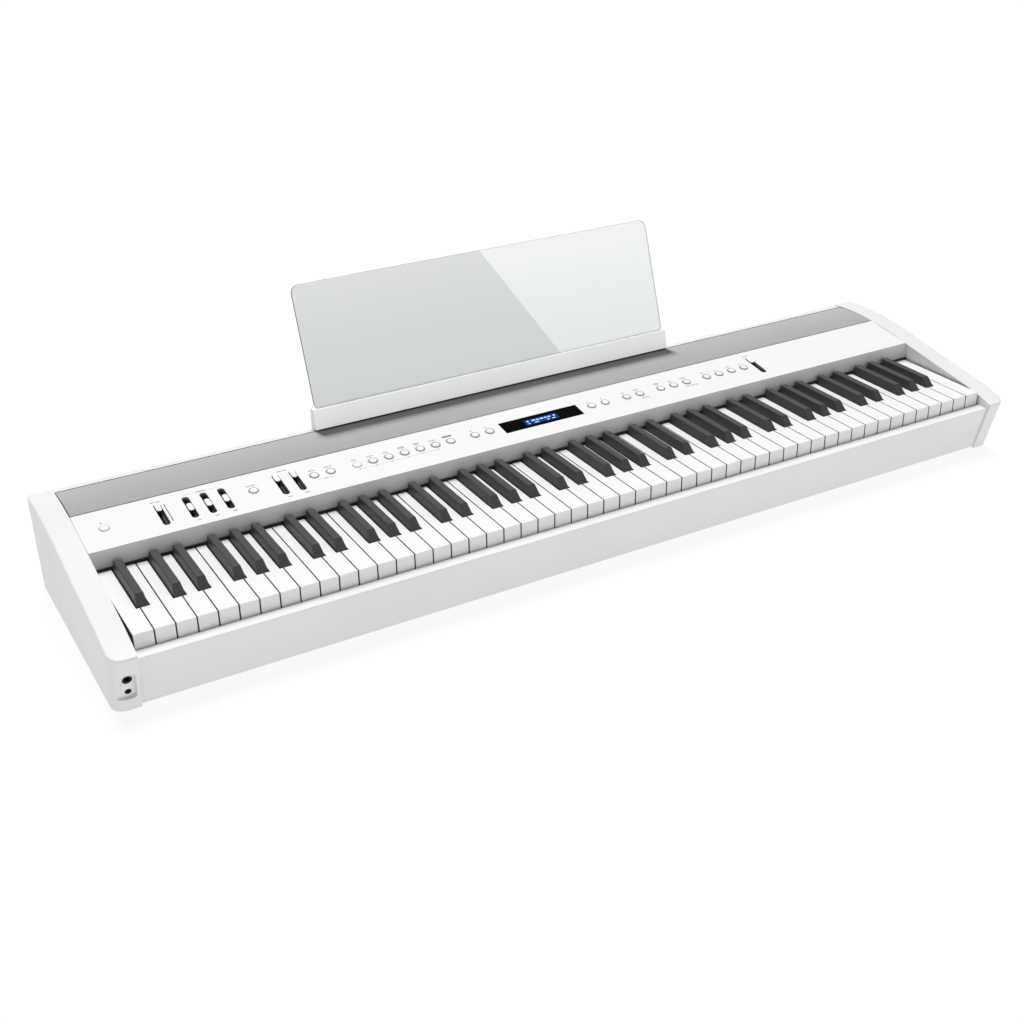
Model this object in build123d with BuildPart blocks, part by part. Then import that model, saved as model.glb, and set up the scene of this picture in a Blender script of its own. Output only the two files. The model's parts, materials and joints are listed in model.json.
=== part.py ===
from build123d import *
import os
from math import atan2, cos, radians, sin

# Slab digital piano with 88 keys and a clear music rest.
# Millimetres.  +X runs to the player's right, +Y away from the player, +Z up.
# The origin is under the middle of the whole piano, on the surface its feet stand on.
# Outlines are drawn as (depth, height): depth is measured back from the foremost edge.

os.makedirs("parts", exist_ok=True)

# ---------------------------------------------------------------- driving dimensions
octave_width = 165.0
white_key_count = 52
key_gap = 1.2
key_end_gap = 2.2
end_block_width = 30.5
body_depth = 344.0
wall = 3.0
case_gap = 0.4

white_pitch = octave_width / 7
keyboard_width = white_key_count * white_pitch
keyboard_left = -keyboard_width / 2
block_inner_x = keyboard_width / 2 + key_end_gap
block_outer_x = block_inner_x + end_block_width
case_half_width = block_inner_x - case_gap
grille_half_width = case_half_width - 0.8

# keys
white_top = 88.5
white_height = 20.0
black_rise = 12.0
key_front = 24.6
notch_front = 74.3
black_front = 75.3
black_front_run = 11.3
black_upper_back = 169.8
key_back = 252.2
key_wall = 2.4
black_base_width = 13.2
black_top_width = 9.6
black_tail_top = 87.0
pivot_depth = 245.2
pivot_height = 80.0
pivot_radius = 2.5
pivot_clearance = 0.3
pivot_web = 2.4

# sloping control panel: its front edge, its back edge and the foot of the fascia under it
fascia_foot = (173.2, 91.6)
panel_front = (176.1, 112.9)
panel_back = (250.6, 124.9)
panel_wall = 2.8
panel_slope = atan2(panel_back[1] - panel_front[1], panel_back[0] - panel_front[0])
button_row = 39.2
button_radius = 6.1
button_rise = 1.1
button_hole_radius = 6.5
slot_length = 44.6
slot_width = 8.8
slot_row = 38.2
slider_travel = 28.0
knob_length = 15.4
knob_width = 7.0
board_drop = 12.4
board_thickness = 1.6
pot_top_drop = 6.4

# music rest
rest_half_width = 273.7
ledge_half_width = 277.8
rest_lean = radians(18.95)
rest_thickness = 3.0
rest_foot = (327.1, 153.9)
rest_height_above_ledge = 160.8
rest_insertion = 4.0
rest_top_depth = rest_foot[0] + rest_height_above_ledge * sin(rest_lean) + rest_thickness * cos(rest_lean)
ledge_front = 318.7
ledge_seat_front = 325.3
ledge_back = 335.2
ledge_bottom = 125.1
ledge_lip = 2.2
ledge_top = 153.6
tab_x = 180.0
tab_depth = 330.0
tab_width = 60.0
tab_thickness = 2.2
tab_length = 13.0

# underside
foot_height = 5.0
board_bottom = 5.0
bottom_board_thickness = 8.0
board_top = board_bottom + bottom_board_thickness
screw_radius = 1.6
screw_xs = (-560, -280, 0, 280, 560)
screw_depths = (40, 256)
stand_hole_radius = 2.5
stand_spacing_x = 1200.0
stand_spacing_y = 180.0
stand_centre_depth = 185.0

foremost_depth = 1.03
front_y = -(rest_top_depth + foremost_depth) / 2

# buttons, from left to right along the control panel
button_pitch = 22.0
button_groups = {
    "power": (-585.0, 1),
    "touch": (-403.7, 1),
    "layer": (-325.0, 2),
    "tone": (-267.5, 7),
    "page": (-100.0, 2),
    "value": (80.0, 2),
    "function": (137.0, 2),
    "song": (194.0, 3),
    "rhythm": (273.0, 4),
}
slider_places = {
    "slider_volume": (-517.5, "top"),
    "slider_tone_low": (-483.0, "middle"),
    "slider_tone_mid": (-461.0, "middle"),
    "slider_tone_high": (-439.0, "middle"),
    "slider_level_left": (-369.4, "top"),
    "slider_level_right": (-347.3, "top"),
    "slider_backing": (360.2, "top"),
}
display_x = 0.3
display_row = 38.3
display_length = 119.6
display_width = 24.8
lcd_length = 51.0
lcd_width = 12.6

# headphone sockets on the left end block, on its leaning front face
block_front_top = (0.6, 76.0)
block_front_bottom = (19.6, 1.5)
block_lean = atan2(block_front_bottom[0] - block_front_top[0], block_front_top[1] - block_front_bottom[1])
headphone_x = -628.0
large_jack_height = 43.5
small_jack_height = 26.2
pocket_depth = 4.5
pocket_x = -634.0
pocket_width = 29.4
pocket_height = 35.9
pocket_length = 36.4
large_collar_radius = 5.6
small_collar_radius = 3.9
jack_bore_radius = 3.2
mini_bore_radius = 1.8

# rear sockets and the board that carries them
rear_jack_xs = (-250.0, -215.0, -180.0)
rear_jack_height = 55.0
rear_collar_radius = 5.4
rear_bore_length = 24.0
dc_inlet_x = -300.0
dc_collar_radius = 4.6
main_board_x = -200.0
main_board_length = 280.0
main_board_depth = 314.4
main_board_bottom = 20.0
main_board_height = 62.0


# ---------------------------------------------------------------- planes
def side_plane(x):
    """Upright plane across the piano at x, with local axes depth and height."""
    return Plane(origin=(x, front_y, 0), x_dir=(0, 1, 0), z_dir=(1, 0, 0))


def slope_plane(x, along, lift=0.0):
    """Plane on the control panel: local x to the right, local y up the slope, z outward."""
    depth = panel_front[0] + along * cos(panel_slope) - lift * sin(panel_slope)
    height = panel_front[1] + along * sin(panel_slope) + lift * cos(panel_slope)
    normal = (0, -sin(panel_slope), cos(panel_slope))
    return Plane(origin=(x, front_y + depth, height), x_dir=(1, 0, 0), z_dir=normal)


def level_plane(height):
    """Level plane with local axes x and depth."""
    return Plane(origin=(0, front_y, height), x_dir=(1, 0, 0), z_dir=(0, 0, 1))


def block_front_plane(x, height, lift=0.0):
    """Plane on the leaning front face of an end block, z pointing out at the player."""
    fall = (block_front_top[1] - height) / (block_front_top[1] - block_front_bottom[1])
    depth = block_front_top[0] + fall * (block_front_bottom[0] - block_front_top[0])
    outward = (0, -cos(block_lean), -sin(block_lean))
    origin = (x, front_y + depth - lift * cos(block_lean), height - lift * sin(block_lean))
    return Plane(origin=origin, x_dir=(1, 0, 0), z_dir=outward)


def save(piece, label):
    """Labels a finished piece and writes it as its own file."""
    piece.label = label
    export_step(piece, f"parts/{label}.step")


# ---------------------------------------------------------------- keys
def black_key_shift(letter):
    """How far the black key right of a white key stands off the joint of its two neighbours."""
    return {"c": -2.3, "d": 2.3, "f": -3.4, "g": 0.0, "a": 3.4}.get(letter)


def notch_sizes(letter):
    """Widths cut from the left and right of a white key to let its black neighbours through."""
    left_shift = black_key_shift({"c": "b", "a": "g"}.get(letter, chr(ord(letter) - 1)))
    right_shift = black_key_shift(letter)
    slot = black_base_width / 2 + key_gap / 2
    left = 0 if left_shift is None else slot + left_shift
    right = 0 if right_shift is None else slot - right_shift
    return left, right


def white_key_face(left_notch, right_notch, inset, back):
    """Plan of a white key, centred on its own width."""
    half = (white_pitch - key_gap) / 2 - inset
    tail_left = -half + left_notch
    tail_right = half - right_notch
    points = [(-half, key_front + inset), (half, key_front + inset)]
    if right_notch:
        points += [(half, notch_front - inset), (tail_right, notch_front - inset)]
    points += [(tail_right, back), (tail_left, back)]
    if left_notch:
        points += [(tail_left, notch_front - inset), (-half, notch_front - inset)]
    with BuildSketch() as face:
        with BuildLine():
            Polyline(points, close=True)
        make_face()
    return face.sketch


def pivot_seat():
    """Round seat over the pivot bar, open below so that a key snaps on."""
    below = white_top - white_height - 1
    with BuildPart() as seat:
        with BuildSketch(side_plane(-white_pitch)):
            with Locations((pivot_depth, pivot_height)):
                Circle(pivot_radius + pivot_clearance)
            with Locations((pivot_depth, (pivot_height + below) / 2)):
                Rectangle(pivot_web + 2.2, pivot_height - below)
        extrude(amount=2 * white_pitch)
    return seat.part


def make_white_key(left_notch, right_notch):
    outside = white_key_face(left_notch, right_notch, 0, key_back)
    inside = white_key_face(left_notch, right_notch, key_wall, pivot_depth - 9)
    seat = pivot_seat()
    with BuildPart() as key:
        with BuildSketch(level_plane(white_top - white_height)):
            add(outside)
        extrude(amount=white_height)
        fillet(key.edges().filter_by(Axis.Z).group_by(Axis.Y)[0], 1.0)
        fillet(key.faces().sort_by(Axis.Z)[-1].edges(), 0.6)
        with BuildSketch(level_plane(white_top - white_height - 1)):
            add(inside)
        extrude(amount=white_height - key_wall + 1, mode=Mode.SUBTRACT)
        add(seat, mode=Mode.SUBTRACT)
    return key.part


def make_black_key():
    bottom = white_top - white_height + 1.5
    top = white_top + black_rise
    half_base = black_base_width / 2
    half_top = black_top_width / 2
    seat = pivot_seat()
    with BuildPart() as key:
        with BuildSketch(side_plane(-half_base)):
            with BuildLine():
                Polyline([
                    (black_front, bottom),
                    (black_front, white_top - 0.5),
                    (black_front + black_front_run, top),
                    (black_upper_back, top),
                    (black_upper_back, black_tail_top),
                    (key_back, black_tail_top),
                    (key_back, bottom),
                ], close=True)
            make_face()
        extrude(amount=black_base_width)
        with BuildSketch(Plane(origin=(0, front_y, 0), x_dir=(1, 0, 0), z_dir=(0, -1, 0))):
            with BuildLine():
                Polyline([
                    (-half_base, bottom),
                    (half_base, bottom),
                    (half_base, white_top),
                    (half_top, top),
                    (-half_top, top),
                    (-half_base, white_top),
                ], close=True)
            make_face()
        extrude(amount=-key_back - 1, mode=Mode.INTERSECT)
        fillet(key.faces().sort_by(Axis.Z)[-1].edges(), 1.3)
        with BuildSketch(level_plane(bottom)):
            with Locations((0, (black_front + pivot_depth - 9) / 2)):
                Rectangle(black_base_width - 2 * key_wall, pivot_depth - 9 - black_front - 2 * key_wall)
        extrude(amount=black_tail_top - key_wall - bottom, mode=Mode.SUBTRACT)
        add(seat, mode=Mode.SUBTRACT)
    return key.part


def white_key_x(index):
    return keyboard_left + (index + 0.5) * white_pitch


def make_white_keys():
    names = "abcdefg"
    last = white_key_count - 1
    for letter in names:
        left_notch, right_notch = notch_sizes(letter)
        key = make_white_key(left_notch, right_notch)
        indices = [i for i in range(1, last) if names[i % 7] == letter]
        with BuildPart() as group:
            with Locations([(white_key_x(i), 0, 0) for i in indices]):
                add(key)
            if letter == names[0]:
                with Locations((white_key_x(0), 0, 0)):
                    add(make_white_key(0, right_notch))
            if letter == names[last % 7]:
                with Locations((white_key_x(last), 0, 0)):
                    add(make_white_key(0, 0))
        save(group.part, f"white_keys_{letter}")


def make_black_keys():
    names = "abcdefg"
    key = make_black_key()
    for label, letters in (("black_keys_in_twos", "cd"), ("black_keys_in_threes", "fga")):
        xs = []
        for index in range(white_key_count - 1):
            letter = names[index % 7]
            if letter in letters:
                xs.append(keyboard_left + (index + 1) * white_pitch + black_key_shift(letter))
        with BuildPart() as group:
            with Locations([(x, 0, 0) for x in xs]):
                add(key)
        save(group.part, label)


def make_key_frame():
    """Chassis under the keys: floor plate, padded stop rail and the bar that the keys pivot on."""
    plate_front, plate_back = 32.0, 264.0
    plate_top = board_top + 3.0
    stop_depth, stop_top = 60.0, 58.0
    half_length = keyboard_width / 2 - 1
    with BuildPart() as frame:
        with BuildSketch(side_plane(-half_length)):
            with Locations(((plate_front + plate_back) / 2, (board_top + plate_top) / 2)):
                Rectangle(plate_back - plate_front, plate_top - board_top)
            with Locations((stop_depth, (board_top + stop_top) / 2)):
                Rectangle(6, stop_top - board_top)
            with Locations((pivot_depth, (board_top + pivot_height) / 2)):
                Rectangle(pivot_web, pivot_height - board_top)
            with Locations((pivot_depth, pivot_height)):
                Circle(pivot_radius)
        extrude(amount=2 * half_length)
        with BuildSketch(level_plane(board_top)):
            with Locations([(x, d) for x in screw_xs for d in screw_depths]):
                Circle(screw_radius + 0.1)
        extrude(amount=plate_top - board_top, mode=Mode.SUBTRACT)
    save(frame.part, "key_frame")


def make_key_felt():
    with BuildPart() as felt:
        with BuildSketch(side_plane(-case_half_width)):
            with Locations((173.2, 90.1)):
                Rectangle(5.6, 2.0)
        extrude(amount=2 * case_half_width)
    save(felt.part, "key_felt")


# ---------------------------------------------------------------- case
def end_block_face(inset, bottom):
    """Side outline of an end block, shrunk by the inset, down to the given bottom height."""
    crown = [(51.5, 89.5), (108.5, 99.9), (175.5, 112.4), (250.5, 124.7), (290, 127)]
    back_corner = (331, 125.4 - inset)
    back = body_depth - inset
    nose = (block_front_top[0] + inset, block_front_top[1] - 0.7 * inset)
    fall = (nose[1] - bottom) / (block_front_top[1] - block_front_bottom[1])
    heel = (nose[0] + fall * (block_front_bottom[0] - block_front_top[0]), bottom)
    with BuildSketch() as face:
        with BuildLine():
            Spline([nose] + [(d, h - inset) for d, h in crown] + [back_corner])
            ThreePointArc(back_corner, (back - 4, 121.4 - 0.7 * inset), (back, 112))
            Polyline([(back, 112), (back, bottom), heel, nose])
        make_face()
    return face.sketch


def corner_cutter(side, edge_point, outward, radius):
    """Removes the square corner outside a rounded upright edge of an end block."""
    along = Vector(side, 0, 0).cross(Vector(outward))
    with BuildPart() as cutter:
        with BuildSketch(Plane(origin=edge_point, x_dir=(side, 0, 0), z_dir=along)):
            with Locations((1.5 - radius / 2, 1.5 - radius / 2)):
                Rectangle(radius + 3, radius + 3)
            with Locations((-radius, -radius)):
                Circle(radius, mode=Mode.SUBTRACT)
        extrude(amount=200, both=True)
    return cutter.part


def end_block_solid(side, inset, bottom):
    """End block with rounded upright outer corners; side is -1 for the low end, 1 for the high end."""
    radius = 16.0 - inset
    inner_x = side * (block_inner_x + inset)
    outer_x = side * (block_outer_x - inset)
    face = end_block_face(inset, bottom)
    nose = (outer_x, front_y + block_front_top[0] + inset, block_front_top[1] - 0.7 * inset)
    lean_outward = (0, -cos(block_lean), -sin(block_lean))
    front_corner = corner_cutter(side, nose, lean_outward, radius)
    back_corner = corner_cutter(side, (outer_x, front_y + body_depth - inset, 60), (0, 1, 0), radius)
    with BuildPart() as block:
        with BuildSketch(side_plane(min(inner_x, outer_x))):
            add(face)
        extrude(amount=abs(outer_x - inner_x))
        add(front_corner, mode=Mode.SUBTRACT)
        add(back_corner, mode=Mode.SUBTRACT)
    return block.part


def make_end_block(side, label, jack_pocket):
    """Hollow end block, open below, with a shallow pocket for the headphone sockets if wanted."""
    outer = end_block_solid(side, 0, block_front_bottom[1])
    cavity = end_block_solid(side, wall, -5)
    with BuildPart() as block:
        add(outer)
        rim = block.edges().filter_by(
            lambda e: e.center().Z > block_front_top[1] and abs(e.center().X) > block_inner_x + 1
        )
        fillet(rim, 2.2)
        add(cavity, mode=Mode.SUBTRACT)
        with BuildSketch(level_plane(-5)):
            with Locations((side * (block_inner_x + wall / 2), (24 + body_depth - wall) / 2)):
                Rectangle(wall + 2, body_depth - wall - 24)
        extrude(amount=board_top + case_gap + 5, mode=Mode.SUBTRACT)
        if jack_pocket:
            add(pocket_backing(outer))
            with BuildSketch(block_front_plane(pocket_x, pocket_height)):
                RectangleRounded(pocket_width, pocket_length, 5)
            extrude(amount=-pocket_depth, mode=Mode.SUBTRACT)
            middle = (large_jack_height + small_jack_height) / 2
            with BuildSketch(block_front_plane(headphone_x, middle, -pocket_depth)):
                SlotOverall(30, 13.4, rotation=90)
            extrude(amount=0.6)
            with BuildSketch(block_front_plane(headphone_x, large_jack_height, -pocket_depth + 1)):
                Circle(large_collar_radius)
            extrude(amount=-12, mode=Mode.SUBTRACT)
            with BuildSketch(block_front_plane(headphone_x, small_jack_height, -pocket_depth + 1)):
                Circle(small_collar_radius)
            extrude(amount=-12, mode=Mode.SUBTRACT)
    save(block.part, label)


def pocket_backing(outer):
    """Thicker patch of wall behind the jack pocket, trimmed to the outside of the block."""
    with BuildPart() as backing:
        add(outer)
        with BuildSketch(block_front_plane(headphone_x, pocket_height)):
            Rectangle(24, pocket_length + 8)
        extrude(amount=-pocket_depth - 3, mode=Mode.INTERSECT)
    return backing.part


def make_front_rail():
    """Rail in front of the keys: leaning front wall with a level lip over it."""
    with BuildPart() as rail:
        with BuildSketch(side_plane(-case_half_width)):
            with BuildLine():
                Polyline([(22.1, 70.2), (5.9, 70.4), (21.6, 4.1)])
                offset(amount=wall, side=Side.LEFT, kind=Kind.INTERSECTION)
            make_face()
        extrude(amount=2 * case_half_width)
        fillet(rail.edges().filter_by(Axis.X).sort_by(Axis.Y)[0], 1.2)
    save(rail.part, "front_rail")


def make_control_panel():
    """Fascia behind the keys and the sloping panel above it, with wells for the sliders."""
    well_depth = pot_top_drop - 0.2
    with BuildPart() as panel:
        with BuildSketch(side_plane(-case_half_width)):
            with BuildLine():
                Polyline([fascia_foot, panel_front, panel_back])
                offset(amount=panel_wall, side=Side.RIGHT, kind=Kind.INTERSECTION)
            make_face()
        extrude(amount=2 * case_half_width)
        brow = Vector(0, front_y + panel_front[0], panel_front[1])
        fillet(panel.edges().filter_by(Axis.X).sort_by(lambda e: (e.center() - brow).length)[0], 1.2)
        for x, _ in slider_places.values():
            with BuildSketch(slope_plane(x, slot_row, -panel_wall)):
                SlotOverall(slot_length + 3, slot_width + 3, rotation=90)
            extrude(amount=panel_wall - well_depth)
            with BuildSketch(slope_plane(x, slot_row, 1)):
                SlotOverall(slot_length, slot_width, rotation=90)
            extrude(amount=-well_depth - 2, mode=Mode.SUBTRACT)
        for x in button_xs():
            with BuildSketch(slope_plane(x, button_row, 1)):
                Circle(button_hole_radius)
            extrude(amount=-panel_wall - 2, mode=Mode.SUBTRACT)
        with BuildSketch(slope_plane(display_x, display_row, 1)):
            Rectangle(display_length + 0.4, display_width + 0.4)
        extrude(amount=-panel_wall - 2, mode=Mode.SUBTRACT)
    save(panel.part, "control_panel")


def make_display():
    """Glossy window with an aperture, and the screen module whose glass fills the aperture."""
    window_thickness = 2.0
    with BuildPart() as window:
        with BuildSketch(slope_plane(display_x, display_row, -0.2)):
            Rectangle(display_length, display_width)
            Rectangle(lcd_length + 0.4, lcd_width + 0.4, mode=Mode.SUBTRACT)
        extrude(amount=-window_thickness)
    save(window.part, "display_window")
    with BuildPart() as module:
        with BuildSketch(slope_plane(display_x, display_row, -0.2 - window_thickness)):
            Rectangle(lcd_length + 26, display_width - 3)
        extrude(amount=-5)
        with BuildSketch(slope_plane(display_x, display_row, -0.2 - window_thickness)):
            Rectangle(lcd_length, lcd_width)
        extrude(amount=window_thickness - 0.5)
    save(module.part, "lcd_module")


def make_grille():
    """Gently crowned grille behind the control panel."""
    with BuildPart() as grille:
        with BuildSketch(side_plane(-grille_half_width)):
            with BuildLine():
                ThreePointArc((252.2, 125.1), (287, 127.1), (322.3, 125.0))
                offset(amount=1.6, side=Side.RIGHT)
            make_face()
        extrude(amount=2 * grille_half_width)
    save(grille.part, "speaker_grille")


def make_rear_cover():
    """Strip behind the grille, rolled over into the back wall, with its slots and socket holes."""
    with BuildPart() as cover:
        with BuildSketch(side_plane(-case_half_width)):
            with BuildLine():
                FilletPolyline([(323.9, 124.6), (343.6, 123.4), (343.6, 40), (342.4, 6.5)], radius=11)
                offset(amount=wall, side=Side.RIGHT)
            make_face()
        extrude(amount=2 * case_half_width)
        with BuildSketch(level_plane(115)):
            with Locations([(-tab_x, tab_depth), (tab_x, tab_depth)]):
                Rectangle(tab_width + 1, tab_thickness + 0.8)
        extrude(amount=20, mode=Mode.SUBTRACT)
        with BuildSketch(back_plane(body_depth + 1)):
            with Locations([(-x, rear_jack_height) for x in rear_jack_xs]):
                Circle(rear_collar_radius + 0.2)
            with Locations((-dc_inlet_x, rear_jack_height)):
                Circle(dc_collar_radius + 0.2)
        extrude(amount=-10, mode=Mode.SUBTRACT)
    save(cover.part, "rear_cover")


def make_bottom_board():
    """Flat board that closes the case, drilled for its screws and for a stand."""
    front, back = 26.0, 339.0
    with BuildPart() as board:
        with BuildSketch(level_plane(board_bottom)):
            with Locations((0, (front + back) / 2)):
                RectangleRounded(2 * (block_outer_x - wall - 0.6), back - front, 14)
            with Locations([(x, d) for x in screw_xs for d in screw_depths]):
                Circle(screw_radius + 0.1, mode=Mode.SUBTRACT)
            with Locations((0, stand_centre_depth)):
                with GridLocations(stand_spacing_x, stand_spacing_y, 2, 2):
                    Circle(stand_hole_radius, mode=Mode.SUBTRACT)
        extrude(amount=bottom_board_thickness)
    save(board.part, "bottom_board")


def make_feet():
    with BuildPart() as feet:
        with BuildSketch(level_plane(0)):
            with Locations([(x, d) for x in (-540, 540) for d in (70, 305)]):
                Circle(14)
        extrude(amount=foot_height)
        chamfer(feet.edges().group_by(Axis.Z)[0], 1.0)
    save(feet.part, "feet")


def make_case_screws():
    """Pan-head screws from below, through the board into the key frame."""
    head_radius, head_height = 3.6, 2.0
    with BuildPart() as screws:
        places = [(x, d) for x in screw_xs for d in screw_depths]
        with BuildSketch(level_plane(board_bottom - head_height)):
            with Locations(places):
                Circle(head_radius)
        extrude(amount=head_height)
        fillet(screws.edges().group_by(Axis.Z)[0], 1.0)
        with BuildSketch(level_plane(board_bottom)):
            with Locations(places):
                Circle(screw_radius)
        extrude(amount=bottom_board_thickness + 2.8)
    save(screws.part, "case_screws")


# ---------------------------------------------------------------- electronics
def make_circuit_boards():
    """Board under the control panel with its switches and slide pots, and the board at the back."""
    switch_height = board_drop - 8.8
    nub_height = board_drop - 8.5
    with BuildPart() as boards:
        with BuildSketch(slope_plane(0, 38, -board_drop)):
            Rectangle(2 * case_half_width - 10, 62)
        extrude(amount=-board_thickness)
        for x in button_xs():
            with BuildSketch(slope_plane(x, button_row, -board_drop)):
                Rectangle(6, 6)
            extrude(amount=switch_height)
            with BuildSketch(slope_plane(x, button_row, -board_drop)):
                Circle(1.7)
            extrude(amount=nub_height)
        for x, _ in slider_places.values():
            with BuildSketch(slope_plane(x, slot_row, -board_drop)):
                Rectangle(slot_width + 0.6, slot_length + 7)
            extrude(amount=board_drop - pot_top_drop)
            with BuildSketch(slope_plane(x, slot_row, -board_drop + 0.8)):
                Rectangle(2.0, slider_travel + 10)
            extrude(amount=board_drop, mode=Mode.SUBTRACT)
        board_y = main_board_depth + board_thickness / 2
        with BuildSketch(level_plane(main_board_bottom)):
            with Locations((main_board_x, board_y)):
                Rectangle(main_board_length, board_thickness)
        extrude(amount=main_board_height)
        for x, size, height in ((-300, 18, 20), (-255, 26, 26), (-205, 22, 22), (-160, 14, 30), (-120, 26, 14)):
            with BuildSketch(level_plane(main_board_bottom + 14)):
                with Locations((x, main_board_depth - 2)):
                    Rectangle(size, 4)
            extrude(amount=height)
    save(boards.part, "circuit_boards")


def make_speakers():
    """Two round drivers facing up under the grille."""
    rim_radius, rim_top = 31.0, 122.4
    with BuildPart() as driver:
        with BuildSketch(Plane.XZ):
            with BuildLine():
                Polyline([
                    (0, rim_top - 19),
                    (9, rim_top - 15),
                    (24, rim_top - 4),
                    (28, rim_top - 1.5),
                    (rim_radius, rim_top),
                    (rim_radius, rim_top - 3),
                    (27, rim_top - 5),
                    (15, rim_top - 22),
                    (20, rim_top - 22),
                    (20, rim_top - 34),
                    (0, rim_top - 34),
                ], close=True)
            make_face()
        revolve(axis=Axis.Z)
    with BuildPart() as drivers:
        with Locations([(x, front_y + 287, 0) for x in (-430, 430)]):
            add(driver.part)
    save(drivers.part, "speaker_drivers")


def make_headphone_sockets():
    """Two blind sockets set square to the leaning front of the left end block."""
    sizes = (
        (large_jack_height, large_collar_radius - 0.15, jack_bore_radius, 30),
        (small_jack_height, small_collar_radius - 0.15, mini_bore_radius, 18),
    )
    with BuildPart() as sockets:
        for height, collar_radius, bore_radius, bore_length in sizes:
            mouth = block_front_plane(headphone_x, height, -pocket_depth + 0.4)
            with BuildSketch(mouth):
                Circle(collar_radius)
            extrude(amount=-bore_length - 2)
            with BuildSketch(mouth):
                Circle(bore_radius)
            extrude(amount=-bore_length, mode=Mode.SUBTRACT)
    save(sockets.part, "headphone_sockets")


def back_plane(depth):
    """Upright plane facing backwards, with local axes minus x and height."""
    return Plane(origin=(0, front_y + depth, 0), x_dir=(-1, 0, 0), z_dir=(0, 1, 0))


def make_rear_sockets():
    """Pedal and line sockets on the rear board, and the power inlet beside them."""
    board_face = main_board_depth + board_thickness
    body_length = body_depth - 3.6 - board_face
    places = [(-x, rear_jack_height) for x in rear_jack_xs]
    with BuildPart() as sockets:
        with BuildSketch(back_plane(board_face)):
            with Locations(places):
                Rectangle(16, 15)
        extrude(amount=body_length)
        with BuildSketch(back_plane(board_face)):
            with Locations(places):
                Circle(rear_collar_radius)
        extrude(amount=body_depth - board_face)
        with BuildSketch(back_plane(body_depth)):
            with Locations(places):
                Circle(jack_bore_radius)
        extrude(amount=-rear_bore_length, mode=Mode.SUBTRACT)
    save(sockets.part, "rear_sockets")
    with BuildPart() as inlet:
        with BuildSketch(back_plane(board_face)):
            with Locations((-dc_inlet_x, rear_jack_height)):
                Rectangle(13, 12)
        extrude(amount=body_length)
        with BuildSketch(back_plane(board_face)):
            with Locations((-dc_inlet_x, rear_jack_height)):
                Circle(dc_collar_radius)
        extrude(amount=body_depth - board_face)
        with BuildSketch(back_plane(body_depth)):
            with Locations((-dc_inlet_x, rear_jack_height)):
                Circle(2.85)
                Circle(1.0, mode=Mode.SUBTRACT)
        extrude(amount=-10, mode=Mode.SUBTRACT)
    save(inlet.part, "dc_inlet")


# ---------------------------------------------------------------- controls
def button_xs():
    return [x for first, count in button_groups.values() for x in (first + i * button_pitch for i in range(count))]


def make_buttons():
    """Push buttons: domed cap, retaining flange under the panel and a stem down to its switch."""
    flange_top = -panel_wall - 0.4
    with BuildPart() as button:
        with BuildSketch(Plane.XZ):
            with BuildLine():
                Polyline([
                    (0, -7.2),
                    (2.2, -7.2),
                    (2.2, flange_top - 1.2),
                    (7.4, flange_top - 1.2),
                    (7.4, flange_top),
                    (button_radius, flange_top),
                    (button_radius, button_rise),
                    (0, button_rise),
                ], close=True)
            make_face()
        revolve(axis=Axis.Z)
        fillet(button.edges().sort_by(Axis.Z)[-1], 0.8)
    for group, (first, count) in button_groups.items():
        for i in range(count):
            label = f"button_{group}" if count == 1 else f"button_{group}_{i + 1}"
            place = slope_plane(first + i * button_pitch, button_row).location
            save(button.part.moved(place), label)


def make_sliders():
    """Slider knobs: rounded cap in the slot and a blade down into its slide pot."""
    with BuildPart() as knob:
        with BuildSketch(Plane.XY.offset(-2.4)):
            SlotOverall(knob_length, knob_width, rotation=90)
        extrude(amount=3.8)
        fillet(knob.faces().sort_by(Axis.Z)[-1].edges(), 1.2)
        with BuildSketch(Plane.XY.offset(-2.4)):
            Rectangle(1.2, 8)
        extrude(amount=-8.4)
    for label, (x, rest) in slider_places.items():
        along = slot_row + (slider_travel / 2 if rest == "top" else 0)
        save(knob.part.moved(slope_plane(x, along).location), label)


def rest_point(up, back):
    """Point on the music rest, measured up its front face from the ledge and back from it."""
    return (
        rest_foot[0] + up * sin(rest_lean) + back * cos(rest_lean),
        rest_foot[1] + up * cos(rest_lean) - back * sin(rest_lean),
    )


def make_music_rest():
    """Clear leaning panel with rounded top corners, held in a ledge with two tabs below."""
    bottom = rest_point(-rest_insertion, 0)
    length = rest_height_above_ledge + rest_insertion
    front = Plane(
        origin=(0, front_y + bottom[0], bottom[1]),
        x_dir=(1, 0, 0),
        z_dir=(0, -cos(rest_lean), sin(rest_lean)),
    )
    with BuildPart() as panel:
        with BuildSketch(front):
            with Locations((0, length / 2)):
                Rectangle(2 * rest_half_width, length)
            fillet(vertices().group_by(Axis.Z)[-1], 12)
        extrude(amount=-rest_thickness)
        chamfer(panel.faces().sort_by(Axis.Y)[0].edges() + panel.faces().sort_by(Axis.Y)[-1].edges(), 0.3)
    save(panel.part, "music_rest_panel")
    with BuildPart() as ledge:
        with BuildSketch(side_plane(-ledge_half_width)):
            with BuildLine():
                Polyline([
                    (ledge_front, ledge_bottom + ledge_lip),
                    (324.8, ledge_top),
                    (334.0, ledge_top),
                    (ledge_back, ledge_bottom),
                    (ledge_seat_front, ledge_bottom),
                    (ledge_seat_front, ledge_bottom + ledge_lip),
                ], close=True)
            make_face()
        extrude(amount=2 * ledge_half_width)
        fillet(ledge.edges().filter_by(Axis.X), 0.6)
        with BuildSketch(level_plane(ledge_bottom)):
            with Locations([(-tab_x, tab_depth), (tab_x, tab_depth)]):
                Rectangle(tab_width, tab_thickness)
        extrude(amount=-tab_length)
        add(panel.part, mode=Mode.SUBTRACT)
    save(ledge.part, "music_rest_ledge")


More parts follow.
